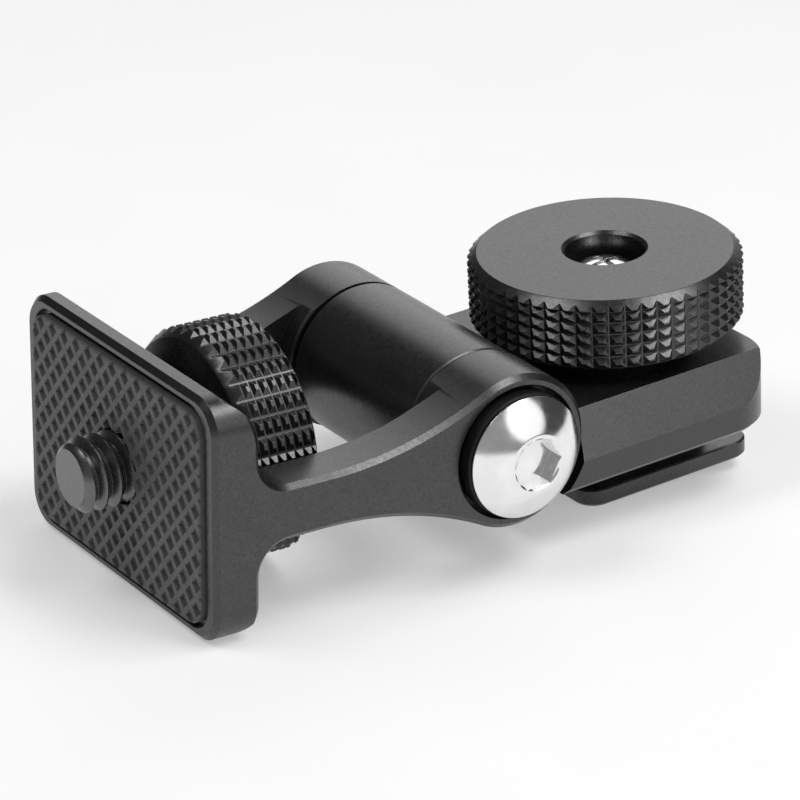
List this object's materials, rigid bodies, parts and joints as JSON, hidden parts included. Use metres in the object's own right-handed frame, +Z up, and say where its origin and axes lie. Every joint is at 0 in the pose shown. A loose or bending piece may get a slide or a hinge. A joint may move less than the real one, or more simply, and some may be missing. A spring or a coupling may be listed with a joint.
{
  "type": "swivel mounting bracket",
  "caption": "Swivel bracket: a forked plate with captive thumbscrew tilts on a friction-damped pivot, over a slide-in shoe foot clamped by a knurled knob.",
  "frame": {"origin": "centre of the shoe foot's underside at rest, on the clamp knob's axis", "axes": "+X away from the pivot along the bracket, +Y parallel to the pivot's axis towards the far ear, +Z up along the clamp knob's axis"},
  "size_m": [0.065, 0.0358, 0.0236],
  "materials": {
    "black_anodised": "satin black anodised over a fine bead blast",
    "black_oxide": "black oxide",
    "polished_steel": "polished stainless",
    "steel": "bright turned",
    "rubber": "matte",
    "nylon": "natural",
    "brass": "turned"
  },
  "bodies": {
    "arm": {"swivel_arm": "black_anodised", "axle_sleeve": "steel", "knob_washer": "nylon", "friction_washer_near": "nylon", "friction_washer_far": "nylon"},
    "yoke": {"yoke": "black_anodised", "rubber_pad": "rubber", "ear_bush_near": "brass", "ear_bush_far": "brass"},
    "float": {"hub_washer": "nylon"},
    "wheel": {"mount_screw": "black_oxide", "thumbwheel": "black_anodised", "wheel_lock_screw": "polished_steel"},
    "near_screw": {"pivot_screw_near": "polished_steel", "head_washer_near": "black_oxide", "disc_spring_near": "steel"},
    "far_screw": {"pivot_screw_far": "polished_steel", "head_washer_far": "black_oxide", "disc_spring_far": "steel"},
    "knob": {"clamp_knob": "black_anodised", "clamp_stud": "steel", "knob_lock_screw": "polished_steel"},
    "foot": {"shoe_foot": "black_anodised"}
  },
  "joints": [
    {"name": "tilt", "type": "hinge", "parent": "arm", "child": "yoke", "pos_m": [-0.0199, 0, 0.01129], "axis": [0, 1, 0], "range_deg": [-98, 110]},
    {"name": "screw_float", "type": "slide", "parent": "yoke", "child": "float", "axis": [-0.9977, 0, 0.0679], "range_m": [-0.0003, 0.0008]},
    {"name": "screw_spin", "type": "hinge", "parent": "float", "child": "wheel", "pos_m": [-0.03536, 0, 0.01234], "axis": [-0.9977, 0, 0.0679], "continuous": true},
    {"name": "near_screw_turn", "type": "hinge", "parent": "arm", "child": "near_screw", "pos_m": [-0.0199, -0.015, 0.01129], "axis": [0, -1, 0], "range_deg": [-90, 90]},
    {"name": "far_screw_turn", "type": "hinge", "parent": "arm", "child": "far_screw", "pos_m": [-0.0199, 0.015, 0.01129], "axis": [0, 1, 0], "range_deg": [-90, 90]},
    {"name": "knob_turn", "type": "hinge", "parent": "arm", "child": "knob", "pos_m": [0, 0, 0], "axis": [0, 0, 1], "range_deg": [-670, 220]},
    {"name": "foot_slide", "type": "slide", "parent": "arm", "child": "foot", "axis": [0, 0, 1], "range_m": [-0.0005, 0.0015]}
  ],
  "couplings": [
    {"joint": "foot_slide", "follows": "knob_turn", "m_per_rad": -0.00012732}
  ]
}
